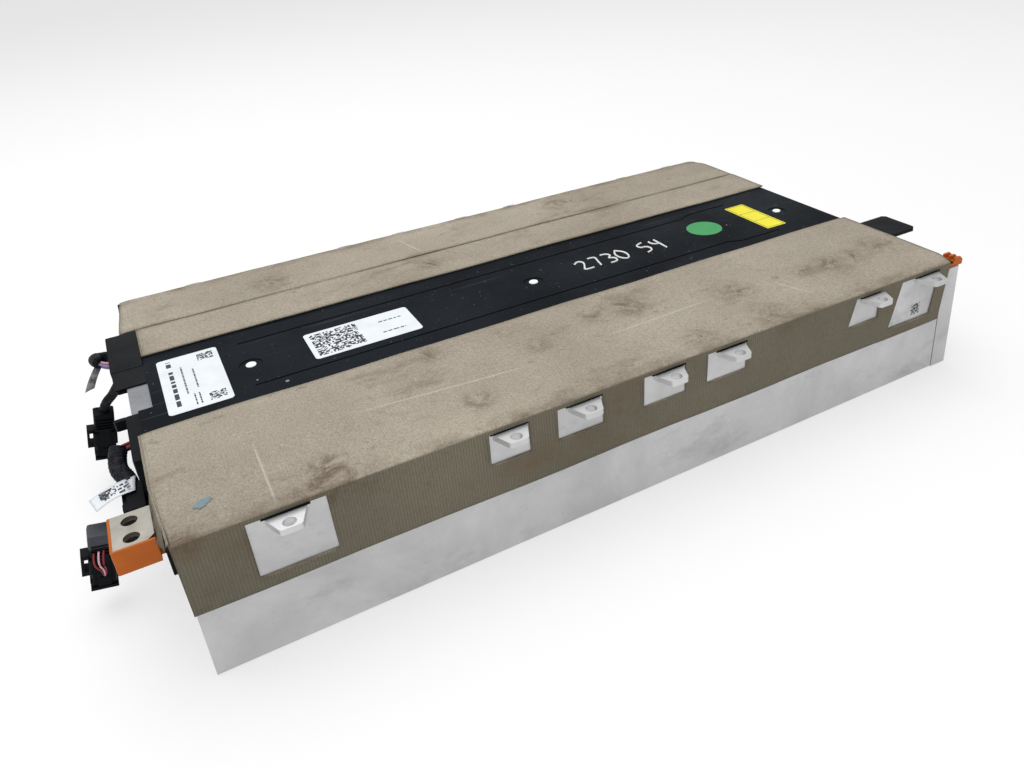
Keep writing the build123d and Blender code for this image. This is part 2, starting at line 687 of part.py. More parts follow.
def build():
    nodes = {}
    nodes["housing_tray"] = housing_tray()
    nodes["front_mounting_lugs"] = many(lugs())
    nodes["rear_mounting_lugs"] = many([mirrored(part) for part in lugs()])
    nodes["end_plate_left"] = end_plate_left()
    nodes["end_plate_right"] = end_plate_right()
    for number in range(CELL_COUNT):
        nodes[f"pouch_cell_{number + 1:02d}"] = cell(number)
    nodes["cell_pads"] = many(cell_pads())
    nodes["thermal_pad"] = thermal_pad()
    nodes["busbar_frame_left"] = busbar_frame(-1)
    nodes["busbar_frame_right"] = busbar_frame(1)
    nodes["busbars_left"] = many(busbars(-1, 4))
    nodes["busbars_right"] = many(busbars(1, 2))
    nodes["insulating_covers"] = many([insulating_cover(-1), insulating_cover(1)])
    nodes["sense_flex"] = sense_flex()
    nodes["cover_spacers"] = many(cover_spacers())
    nodes["top_cover"] = top_cover()
    nodes["cover_plugs"] = many(cover_plugs())
    nodes["front_fire_shield"] = front_shield()
    nodes["rear_fire_shield"] = rear_shield()
    nodes["rear_shield_strip"] = rear_shield_strip()
    nodes["connector_box"] = connector_box()
    nodes["end_cover_left"] = end_cover()
    guard_end = LEFT_TERMINAL_Y - TERMINAL_NECK - 1
    nodes["corner_guards"] = many([
        corner_guard(-INNER_HALF, guard_end),
        corner_guard(BOX_REAR + 1, INNER_HALF),
    ])
    nodes["notch_bracket"] = grey_bracket()
    nodes["hv_terminal_housing_left"] = terminal_housing()
    nodes["hv_terminal_plate_left"] = terminal_plate()
    nodes["hv_terminal_nuts"] = many(terminal_nuts())
    nodes["hv_busbar_cap_right"] = busbar_cap()
    nodes["right_flap"] = right_flap()
    nodes["harness_block"] = harness_block()
    nodes["upper_connector"] = plug_body(UPPER_PLUG_TOP, PLUG_LEAN)
    nodes["lower_connector"] = plug_body(LOWER_PLUG_TOP, PLUG_LEAN)
    nodes["upper_lead"] = lead("upper_lead", upper_route(), LEAD_R)
    nodes["lower_lead"] = lead("lower_lead", lower_route(), LEAD_R)
    nodes["harness_tube"] = lead("harness_tube", TUBE_ROUTE, TUBE_R)
    nodes["harness_loop"] = lead("harness_loop", LOOP_ROUTE, LOOP_R)
    return nodes


def main():
    os.makedirs("parts", exist_ok=True)
    for name, shape in build().items():
        export_step(shape, f"parts/{name}.step")


main()
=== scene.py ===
import json
import math
import random

import bpy
import bmesh
from mathutils import Euler, Matrix, Vector, noise


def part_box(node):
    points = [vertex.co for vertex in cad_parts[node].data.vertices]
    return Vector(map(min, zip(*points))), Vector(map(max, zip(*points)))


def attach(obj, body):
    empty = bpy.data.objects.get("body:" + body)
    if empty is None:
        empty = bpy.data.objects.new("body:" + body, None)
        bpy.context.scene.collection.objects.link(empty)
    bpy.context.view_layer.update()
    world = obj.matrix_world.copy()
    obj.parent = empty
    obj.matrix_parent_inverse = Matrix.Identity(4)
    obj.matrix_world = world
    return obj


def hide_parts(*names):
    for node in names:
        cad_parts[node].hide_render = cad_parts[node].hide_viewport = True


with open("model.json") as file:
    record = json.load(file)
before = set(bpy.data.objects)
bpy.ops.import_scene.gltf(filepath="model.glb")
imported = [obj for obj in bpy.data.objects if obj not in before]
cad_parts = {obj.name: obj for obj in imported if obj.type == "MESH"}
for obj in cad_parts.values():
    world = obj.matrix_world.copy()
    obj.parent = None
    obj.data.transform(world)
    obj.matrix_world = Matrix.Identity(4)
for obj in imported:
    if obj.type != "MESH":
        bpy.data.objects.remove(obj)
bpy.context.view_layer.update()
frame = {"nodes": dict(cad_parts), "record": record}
nodes = frame["nodes"]
MM = 0.001


# ---- places from the frame ----

TOP_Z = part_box("front_fire_shield")[1][2]
FACE_Y = -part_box("front_fire_shield")[0][1]
HEM_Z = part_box("front_fire_shield")[0][2]
SHIELD_X = (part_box("front_fire_shield")[0][0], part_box("front_fire_shield")[1][0])
STRIP_FRONT_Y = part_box("front_fire_shield")[1][1]
SEAM_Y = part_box("rear_shield_strip")[1][1]
WALL_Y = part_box("housing_tray")[0][1]
COVER_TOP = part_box("top_cover")[1][2]
BRACKET_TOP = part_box("notch_bracket")[1][2]
NOTCH_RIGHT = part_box("notch_bracket")[1][0] + 0.2 * MM
# Along X in millimetres: the lugs' centres, and each window's left and right before its bottom in metres.
LUG_X = (-263.5, -112.3, -53.9, 19.3, 78.7, 230.7, 296.8)
CLOTH = 1.2 * MM
EDGE_RADIUS = 2.2 * MM
WINDOW_TOP = 103.6 * MM
WIDE_BOTTOM = 62.0 * MM
NARROW_BOTTOM = 78.6 * MM
WINDOWS = (
    (-287.5, -238.5, WIDE_BOTTOM),
    (-128.5, -98.5, NARROW_BOTTOM),
    (-76.0, -39.0, NARROW_BOTTOM),
    (-3.0, 34.0, NARROW_BOTTOM),
    (55.5, 93.5, NARROW_BOTTOM),
    (211.0, 238.5, NARROW_BOTTOM),
    (265.0, 312.0, WIDE_BOTTOM),
)
# Places along X and how far the cloth there shifts along X, from the fold down to the hem, in millimetres.
LEANS = (
    (-334.0, 1.0), (-287.5, 0.5), (-238.5, 1.0), (-128.5, -1.0), (-98.5, 0.5), (-76.0, -1.0),
    (-39.0, 0.5), (-3.0, -1.5), (34.0, 0.0), (55.5, -2.0), (93.5, -1.0), (211.0, -16.0),
    (238.5, -2.0), (265.0, -15.5), (312.0, -9.5), (333.0, -12.5),
)
# The cloth's ends are cut aslant near its front corners: reach of each cut along Y, where it starts
# along X, the length of cloth that it moves and how far the cloth's end moves.
CORNER_CUT = 17.0 * MM
CORNER_START = 313.0 * MM
CORNER_REACH = 20.0 * MM
CORNER_SHIFT = 8.0 * MM
LEFT_CUT = 66.0 * MM
LEFT_START = -318.0 * MM
LEFT_REACH = 16.0 * MM
LEFT_SHIFT = 5.2 * MM


# ---- small helpers ----

def linear(r, g, b):
    """An sRGB colour from 0 to 255 as a linear RGBA tuple."""
    def one(value):
        value /= 255
        return value / 12.92 if value <= 0.04045 else ((value + 0.055) / 1.055) ** 2.4
    return (one(r), one(g), one(b), 1.0)


class Mat:
    """A material and its node tree, built one node at a time."""

    def __init__(self, name, colour, roughness=0.5, metallic=0.0):
        self.mat = bpy.data.materials.new(name)
        self.mat.use_nodes = True
        self.tree = self.mat.node_tree
        self.shader = self.tree.nodes["Principled BSDF"]
        self.shader.inputs["Base Color"].default_value = colour
        self.shader.inputs["Roughness"].default_value = roughness
        self.shader.inputs["Metallic"].default_value = metallic
        self.mat.diffuse_color = colour
        coordinates = self.tree.nodes.new("ShaderNodeTexCoord")
        self.place = coordinates.outputs["Object"]

    def link(self, out, socket):
        self.tree.links.new(out, socket)

    def mapping(self, scale=(1, 1, 1), turn=(0, 0, 0), shift=(0, 0, 0)):
        node = self.tree.nodes.new("ShaderNodeMapping")
        node.inputs["Scale"].default_value = scale
        node.inputs["Rotation"].default_value = turn
        node.inputs["Location"].default_value = shift
        self.link(self.place, node.inputs["Vector"])
        return node.outputs["Vector"]

    def noise(self, scale, detail=3.0, rough=0.55, vector=None, distortion=0.0):
        node = self.tree.nodes.new("ShaderNodeTexNoise")
        node.inputs["Scale"].default_value = scale
        node.inputs["Detail"].default_value = detail
        node.inputs["Roughness"].default_value = rough
        node.inputs["Distortion"].default_value = distortion
        self.link(vector or self.place, node.inputs["Vector"])
        return node.outputs["Fac"]

    def wave(self, scale, axis, distortion=0.0, vector=None):
        node = self.tree.nodes.new("ShaderNodeTexWave")
        node.bands_direction = axis
        node.inputs["Scale"].default_value = scale
        node.inputs["Distortion"].default_value = distortion
        node.inputs["Detail"].default_value = 2.0
        node.inputs["Detail Scale"].default_value = 2.0
        self.link(vector or self.place, node.inputs["Vector"])
        return node.outputs["Fac"]

    def ramp(self, fac, low, high, start=0.0, end=1.0):
        """Maps a factor between two places to a range of values."""
        node = self.tree.nodes.new("ShaderNodeMapRange")
        node.inputs["From Min"].default_value = low
        node.inputs["From Max"].default_value = high
        node.inputs["To Min"].default_value = start
        node.inputs["To Max"].default_value = end
        self.link(fac, node.inputs["Value"])
        return node.outputs["Result"]

    def mix(self, fac, a, b):
        node = self.tree.nodes.new("ShaderNodeMix")
        node.data_type = "RGBA"
        if isinstance(fac, float):
            node.inputs[0].default_value = fac
        else:
            self.link(fac, node.inputs[0])
        for socket, value in ((node.inputs[6], a), (node.inputs[7], b)):
            if isinstance(value, tuple):
                socket.default_value = value
            else:
                self.link(value, socket)
        return node.outputs[2]

    def maths(self, operation, a, b):
        node = self.tree.nodes.new("ShaderNodeMath")
        node.operation = operation
        for socket, value in ((node.inputs[0], a), (node.inputs[1], b)):
            if isinstance(value, (int, float)):
                socket.default_value = value
            else:
                self.link(value, socket)
        return node.outputs[0]

    def normal_z(self):
        node = self.tree.nodes.new("ShaderNodeNewGeometry")
        return self.split(node.outputs["Normal"], "Z")

    def axis(self, name):
        return self.split(self.place, name)

    def split(self, vector, name):
        node = self.tree.nodes.new("ShaderNodeSeparateXYZ")
        self.link(vector, node.inputs[0])
        return node.outputs[name]

    def distance(self, point):
        node = self.tree.nodes.new("ShaderNodeVectorMath")
        node.operation = "DISTANCE"
        self.link(self.place, node.inputs[0])
        node.inputs[1].default_value = point
        return node.outputs["Value"]

    def frame_at(self, point, turn):
        """Coordinates about a point, turned in the XY plane by degrees."""
        node = self.tree.nodes.new("ShaderNodeMapping")
        node.vector_type = "TEXTURE"
        node.inputs["Location"].default_value = point
        node.inputs["Rotation"].default_value = (0, 0, math.radians(turn))
        self.link(self.place, node.inputs["Vector"])
        return node.outputs["Vector"]

    def colour(self, out):
        self.link(out, self.shader.inputs["Base Color"])

    def roughness(self, out):
        self.link(out, self.shader.inputs["Roughness"])

    def bump(self, height, distance, strength=1.0):
        node = self.tree.nodes.new("ShaderNodeBump")
        node.inputs["Strength"].default_value = strength
        node.inputs["Distance"].default_value = distance
        self.link(height, node.inputs["Height"])
        self.link(node.outputs["Normal"], self.shader.inputs["Normal"])


# ---- materials ----

FABRIC_TOP = linear(170, 161, 146)
WEAVE_SCALE = 150.0
# Brown handling stains on the cloth: x, y and reach in millimetres.
STAINS = (
    (303.6, -126.6, 26), (270.0, -131.0, 18), (238.7, -134.3, 24), (209.6, -131.0, 17), (39.5, -85.7, 24),
    (50.8, -100.9, 19), (12.7, -90.9, 16), (134.8, -123.1, 26), (132.9, -174.3, 24), (-223.0, -180.8, 26),
    (-245.0, -184.0, 22), (-231.9, -166.3, 18), (-125.4, -72.5, 16), (61.0, -173.4, 20), (-117.9, -154.5, 18),
    (-46.3, -110.0, 15), (-322.0, -188.0, 17), (-200.0, 150.0, 24), (120.0, 160.0, 28), (-60.0, 95.0, 18),
)
# Pale pressed creases: x, y, turn in degrees and half length.
CREASES = (
    (-267.0, -150.0, 0, 38), (-130.0, -126.0, 84, 70), (60.0, -126.0, 91, 55), (180.0, -152.0, 20, 20),
    (-60.0, 150.0, 12, 26),
)


def glass_fabric():
    """Woven glass cloth: coarse grain, painted shade on the ribbed flanks, brown stains, a darker brown band
    near the front fold, pale creases.
    """
    m = Mat("glass_fabric", FABRIC_TOP, 0.88)
    m.shader.inputs["Specular IOR Level"].default_value = 0.2
    up = m.ramp(m.normal_z(), 0.35, 0.9)
    cloud = m.noise(9.0, 5.0, 0.6)
    base = m.mix(m.ramp(cloud, 0.3, 0.72), linear(150, 141, 127), linear(174, 165, 150))
    # Painted shade: where the cloth faces sideways it takes this darker colour, with darker ribs, in place of
    # the top's colour.
    side = m.mix(m.ramp(cloud, 0.3, 0.72), linear(107, 102, 88), linear(124, 118, 102))
    across = m.wave(WEAVE_SCALE, "X", 0.8)
    side = m.mix(m.ramp(across, 0.2, 0.9, 0.0, 0.3), side, linear(74, 70, 57))
    base = m.mix(up, side, base)
    grain = m.noise(620.0, 2.0, 0.7)
    base = m.mix(m.ramp(grain, 0.42, 0.72, 0.0, 0.42), base, linear(92, 84, 70))
    pale = m.noise(480.0, 2.0, 0.7, m.mapping(shift=(0.3, 0.8, 0.1)))
    base = m.mix(m.maths("MULTIPLY", m.ramp(pale, 0.56, 0.76, 0.0, 0.34), up), base, linear(206, 198, 184))
    stain = m.noise(17.0, 5.0, 0.66, m.mapping((0.7, 1.3, 1.0), shift=(3.1, 0.4, 0)))
    base = m.mix(m.ramp(stain, 0.565, 0.74, 0.0, 0.62), base, linear(104, 86, 68))
    dirt = m.noise(62.0, 4.0, 0.66, m.mapping((0.8, 1.4, 1), shift=(1.7, 2.3, 0.2)))
    base = m.mix(m.ramp(dirt, 0.62, 0.76, 0.0, 0.55), base, linear(92, 76, 60))
    # A darker brown band of noisy patches on the top, 2 to 15 mm behind the front fold.
    fold = m.ramp(m.maths("ABSOLUTE", m.axis("Y"), 0.0), FACE_Y - 15 * MM, FACE_Y - 2 * MM)
    fold_patches = m.ramp(m.noise(34.0, 5.0, 0.7, m.mapping((1.0, 1.6, 1.6))), 0.4, 0.68, 0.0, 0.8)
    base = m.mix(m.maths("MULTIPLY", m.maths("MULTIPLY", fold, fold_patches), up), base, linear(98, 82, 64))
    smear = m.ramp(m.noise(60.0, 6.0, 0.78, distortion=1.4), 0.42, 0.62, 0.0, 0.9)
    for x, y, reach in STAINS:
        spot = m.ramp(m.distance((x * MM, y * MM, TOP_Z)), 0.15 * reach * MM, reach * MM, 0.8, 0.0)
        base = m.mix(m.maths("MULTIPLY", spot, smear), base, linear(88, 70, 54))
    for x, y, turn, half in CREASES:
        place = m.frame_at((x * MM, y * MM, 0), turn)
        beside = m.maths("ABSOLUTE", m.split(place, "X"), 0.0)
        across_line = m.ramp(beside, 0.2 * MM, 1.1 * MM, 0.5, 0.0)
        beyond = m.maths("ABSOLUTE", m.split(place, "Y"), 0.0)
        along_line = m.ramp(beyond, 0.6 * half * MM, half * MM, 1.0, 0.0)
        base = m.mix(m.maths("MULTIPLY", across_line, along_line), base, linear(204, 196, 182))
    m.colour(base)
    along = m.wave(WEAVE_SCALE, "Y", 0.8)
    weave = m.maths("ADD", m.maths("MULTIPLY", across, 0.7), m.maths("MULTIPLY", along, 0.5))
    m.bump(m.maths("ADD", weave, m.maths("MULTIPLY", grain, 2.0)), 0.0005, 0.6)
    return m.mat


def aluminium(name="aluminium", light=1.0):
    """Mill-finish sheet with grey smudges, faint handling streaks and fine grain; light above 1 makes a
    lighter copy, which is painted light.
    """
    m = Mat(name, (0.55 * light, 0.56 * light, 0.57 * light, 1), 0.45, 0.6)
    cloud = m.noise(11.0, 7.0, 0.7, distortion=0.3)
    high = (0.6 * light, 0.6 * light, 0.605 * light, 1)
    low = (0.47 * light, 0.47 * light, 0.475 * light, 1)
    base = m.mix(m.ramp(cloud, 0.34, 0.66), low, high)
    smudge = m.noise(19.0, 6.0, 0.72, m.mapping((0.8, 1.0, 1.6), turn=(0, 0.6, 0), shift=(2.0, 0.0, 0.7)))
    base = m.mix(m.ramp(smudge, 0.54, 0.74, 0.0, 0.58), base, (0.27 * light, 0.275 * light, 0.285 * light, 1))
    speck = m.noise(240.0, 2.0, 0.6)
    base = m.mix(m.ramp(speck, 0.7, 0.78, 0.0, 0.35), base, (0.24, 0.24, 0.25, 1))
    m.colour(base)
    m.roughness(m.ramp(cloud, 0.3, 0.7, 0.52, 0.38))
    m.bump(m.noise(900.0, 2.0, 0.5, m.mapping((0.1, 1, 1))), 0.00008, 0.5)
    return m.mat


def black_cover():
    """Black coated sheet with dust specks, fine scratches and cloudy gloss."""
    m = Mat("black_cover", linear(20, 24, 29), 0.42)
    m.shader.inputs["Specular IOR Level"].default_value = 0.05
    cloud = m.noise(12.0, 5.0, 0.6)
    base = m.mix(m.ramp(cloud, 0.35, 0.7), linear(10, 15, 21), linear(19, 25, 32))
    specks = m.noise(420.0, 1.0, 0.4)
    base = m.mix(m.ramp(specks, 0.74, 0.8, 0.0, 0.5), base, linear(120, 122, 124))
    scratch = m.noise(60.0, 2.0, 0.5, m.mapping((0.08, 4.0, 1.0), turn=(0, 0, 0.5)))
    base = m.mix(m.ramp(scratch, 0.68, 0.76, 0.0, 0.4), base, linear(96, 100, 104))
    m.colour(base)
    m.roughness(m.ramp(cloud, 0.3, 0.7, 0.52, 0.34))
    m.bump(m.noise(260.0, 3.0, 0.5), 0.0001, 0.4)
    return m.mat


def moulded(name, colour, roughness=0.45, grain=700.0, gloss=0.4):
    """Moulded plastic with fine spark-eroded grain and slight colour drift."""
    m = Mat(name, colour, roughness)
    m.shader.inputs["Specular IOR Level"].default_value = gloss
    lighter = tuple(min(1.0, c * 1.35 + 0.004) for c in colour[:3]) + (1.0,)
    m.colour(m.mix(m.ramp(m.noise(30.0, 4.0, 0.6), 0.35, 0.7), colour, lighter))
    m.roughness(m.ramp(m.noise(45.0, 3.0, 0.6), 0.3, 0.7, roughness - 0.08, roughness + 0.1))
    m.bump(m.noise(grain, 2.0, 0.5), 0.0001, 0.4)
    return m.mat


def metal(name, colour, roughness):
    """Bare or plated metal with brushed grain and light tarnish."""
    m = Mat(name, colour, roughness, 0.85)
    darker = tuple(c * 0.72 for c in colour[:3]) + (1.0,)
    m.colour(m.mix(m.ramp(m.noise(60.0, 4.0, 0.65), 0.4, 0.75), colour, darker))
    m.bump(m.noise(1200.0, 2.0, 0.5, m.mapping((1, 0.08, 1))), 0.00005, 0.5)
    return m.mat


def paper(name, colour):
    """Printed film label: near flat, faintly clouded and slightly glossy."""
    m = Mat(name, colour, 0.42)
    darker = tuple(c * 0.9 for c in colour[:3]) + (1.0,)
    m.colour(m.mix(m.ramp(m.noise(55.0, 3.0, 0.6), 0.35, 0.75), colour, darker))
    m.bump(m.noise(300.0, 2.0, 0.5), 0.00003, 0.4)
    return m.mat


def taped():
    """Black cloth tape wound round a bundle, rough and a little grey."""
    m = Mat("harness_tape", linear(20, 21, 26), 0.6)
    m.shader.inputs["Specular IOR Level"].default_value = 0.15
    m.colour(m.mix(m.ramp(m.noise(240.0, 4.0, 0.7), 0.42, 0.7), linear(11, 12, 15), linear(44, 46, 56)))
    m.bump(m.noise(420.0, 3.0, 0.65), 0.0008, 0.8)
    return m.mat


FABRIC = glass_fabric()
ALUMINIUM = aluminium()
# Painted light: a brighter copy of the aluminium for the lugs, whose tops face the lamps.
LUG_METAL_PAINTED_LIGHT = aluminium("lug_aluminium_painted_light", 1.14)
BLACK_COVER = black_cover()
BLACK_PLASTIC = moulded("black_plastic", linear(8, 10, 14), 0.38, gloss=0.07)
DARK_GREY = moulded("dark_grey_sleeve", linear(52, 55, 62), 0.6)
ORANGE = moulded("orange_plastic", linear(166, 84, 20), 0.5, gloss=0.2)
WHITE_PLASTIC = moulded("white_plastic", linear(236, 238, 240), 0.4)
TERMINAL = metal("plated_terminal", linear(178, 174, 164), 0.42)
GALVANISED = metal("galvanised", linear(150, 152, 156), 0.45)
COPPER = metal("copper", linear(196, 128, 92), 0.35)
POUCH = metal("cell_pouch", linear(205, 206, 210), 0.4)
TAPE = taped()
LABEL_WHITE = paper("label_white", linear(226, 231, 236))
LABEL_GREY = paper("label_grey", linear(128, 128, 130))
LABEL_YELLOW = paper("label_yellow", linear(236, 226, 38))
LABEL_GREEN = paper("label_green", linear(52, 150, 84))
PRINT = paper("print_dark", linear(40, 42, 46))
MARKER = paper("marker", linear(226, 228, 226))
SCUFF = paper("scuff", linear(108, 132, 140))
WIRE_PINK = moulded("wire_pink", linear(200, 160, 168), 0.5)
WIRE_LILAC = moulded("wire_lilac", linear(150, 124, 168), 0.5)
WIRE_RED = moulded("wire_red", linear(120, 26, 38), 0.45)
FOAM = moulded("foam", linear(70, 70, 74), 0.9, 400.0)
GAP_PAD = moulded("gap_filler", linear(200, 190, 194), 0.8, 300.0)

SLOT_MATERIALS = {
    "aluminium": ALUMINIUM,
    "cell_pouch": POUCH,
    "foam": FOAM,
    "gap_filler": GAP_PAD,
    "frame_plastic": BLACK_PLASTIC,
    "copper": COPPER,
    "insulating_sheet": BLACK_PLASTIC,
    "flex_circuit": moulded("flex_circuit", linear(170, 110, 40), 0.4),
    "black_cover": BLACK_COVER,
    "white_plastic": WHITE_PLASTIC,
    "glass_fabric": FABRIC,
    "black_plastic": BLACK_PLASTIC,
    "galvanised": GALVANISED,
    "orange_plastic": ORANGE,
    "steel": metal("steel", linear(120, 120, 120), 0.4),
    "plated_terminal": TERMINAL,
    "harness_tape": TAPE,
}


def dress_nodes():
    """Gives every CAD node the material of its slot, but the lugs a lighter copy of the aluminium: painted
    light on their lit tops.
    """
    for part in frame["record"]["subparts"]:
        material = SLOT_MATERIALS[part["material_slot"]]
        # Painted light: the lugs take the brighter aluminium copy.
        if part["node"].endswith("mounting_lugs"):
            material = LUG_METAL_PAINTED_LIGHT
        piece = nodes[part["node"]]
        if not piece.material_slots:
            piece.data.materials.append(material)
        for slot in piece.material_slots:
            slot.material = material


# ---- pieces ----

def piece_from(name, mesh, material, smooth=True):
    """Links a mesh as a piece that rides on the module."""
    obj = bpy.data.objects.new(name, mesh)
    bpy.context.scene.collection.objects.link(obj)
    mesh.materials.append(material)
    for face in mesh.polygons:
        face.use_smooth = smooth
    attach(obj, "root")
    return obj


def bm_to_mesh(name, bm):
    bmesh.ops.recalc_face_normals(bm, faces=bm.faces)
    mesh = bpy.data.meshes.new(name)
    bm.to_mesh(mesh)
    bm.free()
    return mesh


def quads(bm, rows):
    """Faces between neighbouring rows of points."""
    for a, b in zip(rows, rows[1:]):
        for k in range(len(a) - 1):
            bm.faces.new((a[k], a[k + 1], b[k + 1], b[k]))


def thicken(obj, name, thickness):
    """Gives a sheet its thickness, on the side away from its normals."""
    layer = obj.modifiers.new(name, "SOLIDIFY")
    layer.thickness = thickness
    layer.offset = -1


def raise_face(bm, points, thick):
    """A flat outline made into a thin slab above the XY plane."""
    face = bm.faces.new([bm.verts.new((x, y, 0)) for x, y in points])
    lifted = bmesh.ops.extrude_face_region(bm, geom=[face])
    for item in lifted["geom"]:
        if isinstance(item, bmesh.types.BMVert):
            item.co.z += thick


def circle(radius, count):
    """Points round a circle about the origin, from its radius in millimetres."""
    turns = (math.tau * k / count for k in range(count))
    return [(radius * MM * math.cos(a), radius * MM * math.sin(a)) for a in turns]


# ---- fire shields ----

def spread(low, high, step, fixed):
    """Evenly spaced values with some exact ones let in, and none too close to those."""
    count = max(2, round((high - low) / step))
    values = [low + (high - low) * i / count for i in range(count + 1)]
    keep = [v for v in values if all(abs(v - f) > step * 0.45 for f in fixed) or v in (low, high)]
    return sorted(set(keep) | set(fixed))


def shield_profile(inner_y):
    """Points (y, z, normal) from the strip's edge over the fold and down to the hem."""
    points = []
    flat_end = -(FACE_Y - EDGE_RADIUS)
    for y in reversed(spread(flat_end, inner_y, 6 * MM, [])):
        points.append((y, TOP_Z, (0, 1)))
    for i in range(1, 6):
        a = math.radians(90 * i / 6)
        y = flat_end - EDGE_RADIUS * math.sin(a)
        z = TOP_Z - EDGE_RADIUS + EDGE_RADIUS * math.cos(a)
        points.append((y, z, (-math.sin(a), math.cos(a))))
    fixed = [WINDOW_TOP, WIDE_BOTTOM, NARROW_BOTTOM]
    for z in reversed(spread(HEM_Z, WINDOW_TOP, 4.5 * MM, fixed)):
        points.append((-FACE_Y, z, (-1, 0)))
    return points


def lean(x):
    """The lean at a place along the side, in metres."""
    for (x0, a), (x1, b) in zip(LEANS, LEANS[1:]):
        if x <= x1 * MM + 1e-9:
            share = (x / MM - x0) / (x1 - x0)
            return (a + (b - a) * share) * MM
    return LEANS[-1][1] * MM


def cut_in(x, y, z):
    """Moves a point of the cloth so that its ends are cut as the real ones are."""
    if z < TOP_Z - EDGE_RADIUS:
        x += lean(x) * (WINDOW_TOP - z) / (WINDOW_TOP - HEM_Z)
    near_front = min(1.0, max(0.0, (-y - (FACE_Y - CORNER_CUT)) / CORNER_CUT))
    far_front = min(1.0, max(0.0, (-y - (FACE_Y - LEFT_CUT)) / LEFT_CUT))
    if x > CORNER_START:
        x -= CORNER_SHIFT * near_front * (x - CORNER_START) / CORNER_REACH
    if x < LEFT_START:
        x += LEFT_SHIFT * far_front * (LEFT_START - x) / LEFT_REACH
    return x


def in_window(x, y, z):
    if y > -FACE_Y + 0.1 * MM:
        return False
    for left, right, bottom in WINDOWS:
        if left * MM < x < right * MM and bottom < z < WINDOW_TOP:
            return True
    return False


def ripple(x, y, z, seed):
    """Gentle unevenness of the cloth."""
    broad = noise.noise(Vector((x * 9, y * 9 + seed, z * 9)))
    fine = noise.noise(Vector((x * 38, y * 38 + seed, z * 30)))
    return (broad * 0.55 + fine * 0.22) * MM


def crease(x, y):
    """A soft pressed line a little behind the front edge, as the cloth was folded twice."""
    line = -(FACE_Y - 9 * MM) + 1.2 * MM * math.sin(x * 21)
    return -0.55 * MM * math.exp(-((y - line) / (1.7 * MM)) ** 2)


def shield(name, inner_y, rear, seed):
    """A cloth shield with its windows, fold, ripples and cut edges."""
    fixed = [value * MM for window in WINDOWS for value in window[:2]]
    xs = spread(SHIELD_X[0], SHIELD_X[1], 6 * MM, fixed)
    profile = shield_profile(inner_y)
    bm = bmesh.new()
    rows = []
    for y, z, (ny, nz) in profile:
        row = []
        for x in xs:
            lift = ripple(x, y, z, seed) - 0.35 * MM
            if nz > 0.9:
                lift += crease(x, y)
            near_edge = min(abs(x - SHIELD_X[0]), abs(x - SHIELD_X[1]))
            sag = -1.0 * MM * math.exp(-near_edge / (7 * MM)) if nz > 0.2 else 0.0
            wander = 0.5 * MM * math.sin(x * 47 + seed) if y == profile[0][0] else 0.0
            hem = 0.4 * MM * math.sin(x * 33 + seed) if z == profile[-1][1] and ny < -0.9 else 0.0
            place = (cut_in(x, y, z), y + ny * lift + wander, z + nz * (lift + sag) + hem)
            row.append(bm.verts.new(place))
        rows.append(row)
    for i in range(len(rows) - 1):
        for j in range(len(xs) - 1):
            y = (profile[i][0] + profile[i + 1][0]) / 2
            z = (profile[i][1] + profile[i + 1][1]) / 2
            if not in_window((xs[j] + xs[j + 1]) / 2, y, z):
                bm.faces.new((rows[i][j], rows[i][j + 1], rows[i + 1][j + 1], rows[i + 1][j]))
    if rear:
        for vert in bm.verts:
            vert.co.y = -vert.co.y
    loose = [vert for vert in bm.verts if not vert.link_faces]
    bmesh.ops.delete(bm, geom=loose, context="VERTS")
    obj = piece_from(name, bm_to_mesh(name, bm), FABRIC)
    outwards(obj)
    thicken(obj, "cloth", CLOTH)
    return obj


def outwards(obj):
    """Turns the normals so that the top faces up."""
    top = max(obj.data.polygons, key=lambda face: face.center.z)
    if top.normal.z < 0:
        obj.data.flip_normals()


def make_shields():
    front = shield("front_shield_cloth", STRIP_FRONT_Y, False, 1.3)
    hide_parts("front_fire_shield")
    rear = shield("rear_shield_cloth", -SEAM_Y - 0.2 * MM, True, 7.7)
    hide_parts("rear_fire_shield")
    inner = strip_cloth()
    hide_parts("rear_shield_strip")


def strip_cloth():
    """The flat inner strip of the rear shield, a little below the outer cloth."""
    low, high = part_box("rear_shield_strip")
    xs = spread(low[0], high[0], 7 * MM, [])
    ys = spread(low[1], high[1], 6 * MM, [])
    bm = bmesh.new()
    grid = []
    for y in ys:
        row = []
        for x in xs:
            edge = 0.4 * MM * math.sin(x * 41) if y == ys[0] else 0.0
            row.append(bm.verts.new((x, y + edge, high[2] - 0.3 * MM + ripple(x, y, 0, 4.1) * 0.7)))
        grid.append(row)
    quads(bm, grid)
    obj = piece_from("rear_inner_cloth", bm_to_mesh("rear_inner_cloth", bm), FABRIC)
    outwards(obj)
    thicken(obj, "cloth", CLOTH)
    return obj


# ---- flat prints ----

FILM = 0.15 * MM
INK = 0.04 * MM

def rounded(width, height, radius, steps=5):
    """Corner points of a rounded rectangle about the origin."""
    points = []
    for cx, cy, start in ((1, 1, 0), (-1, 1, 90), (-1, -1, 180), (1, -1, 270)):
        for i in range(steps + 1):
            a = math.radians(start + 90 * i / steps)
            x = cx * (width / 2 - radius) + radius * math.cos(a)
            y = cy * (height / 2 - radius) + radius * math.sin(a)
            points.append((x, y))
    return points


def film(name, points, thick, place, material):
    """A thin flat film cut to an outline and laid at a place."""
    bm = bmesh.new()
    raise_face(bm, points, thick)
    bmesh.ops.transform(bm, matrix=place, verts=bm.verts)
    return piece_from(name, bm_to_mesh(name, bm), material, smooth=False)


